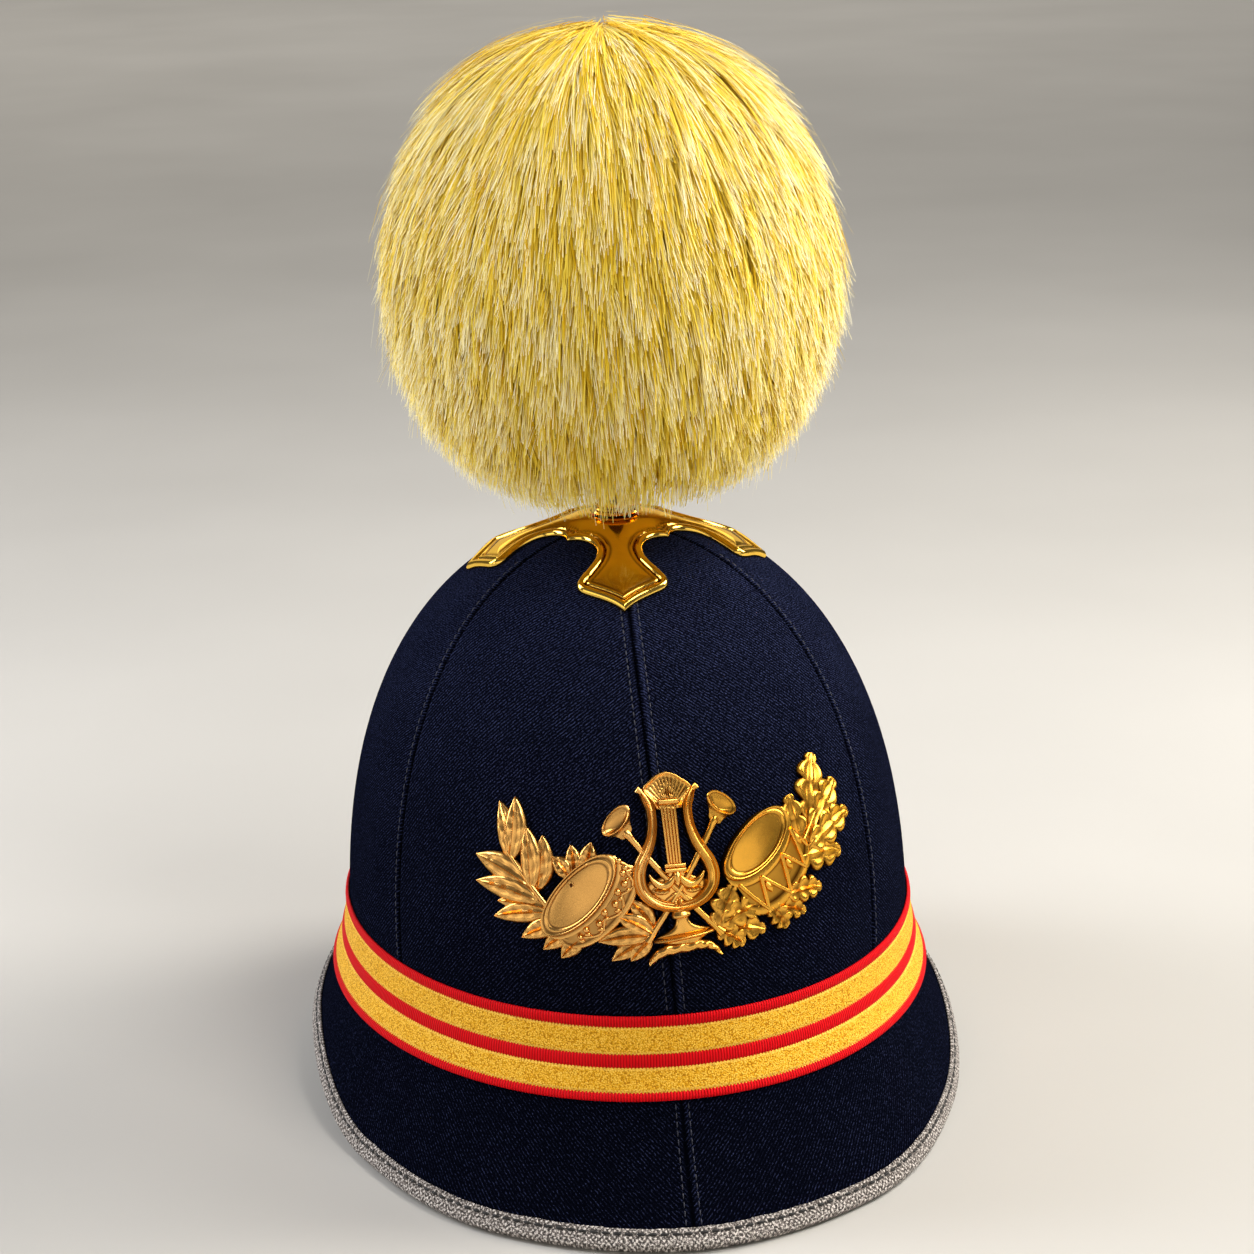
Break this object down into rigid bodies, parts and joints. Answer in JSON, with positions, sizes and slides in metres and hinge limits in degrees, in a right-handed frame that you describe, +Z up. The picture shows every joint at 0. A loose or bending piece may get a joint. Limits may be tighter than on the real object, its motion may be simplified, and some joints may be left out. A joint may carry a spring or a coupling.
{
  "type": "plumed full-dress helmet",
  "caption": "Cloth-covered full-dress band helmet, worn on the head, with striped band, bound brim, brass cross base, ball hair plume and gilt music badge.",
  "frame": {"origin": "centre of the bounding box in plan, on the surface that the brim rests on", "axes": "+Z up through the plume, -Y towards the front of the helmet, +X towards the wearer's left"},
  "size_m": [0.2316, 0.3158, 0.37],
  "materials": {
    "navy_twill": "navy wool twill, sewn in gores over a stiff shell",
    "striped_braid": "woven braid in red and gold stripes",
    "grey_braid": "grey woven binding braid, machine stitched",
    "polished_brass": "polished stamped brass",
    "dark_wood": "dark red-brown post",
    "yellow_hair": "combed yellow hair",
    "gilt_brass": "gilt struck brass with raised relief"
  },
  "bodies": {
    "root": {"crown": "navy_twill", "brim": "navy_twill", "band": "striped_braid", "brim_binding": "grey_braid", "cross_base": "polished_brass", "plume_socket": "polished_brass", "plume_stem": "dark_wood", "plume": "yellow_hair", "badge": "gilt_brass"}
  },
  "joints": []
}
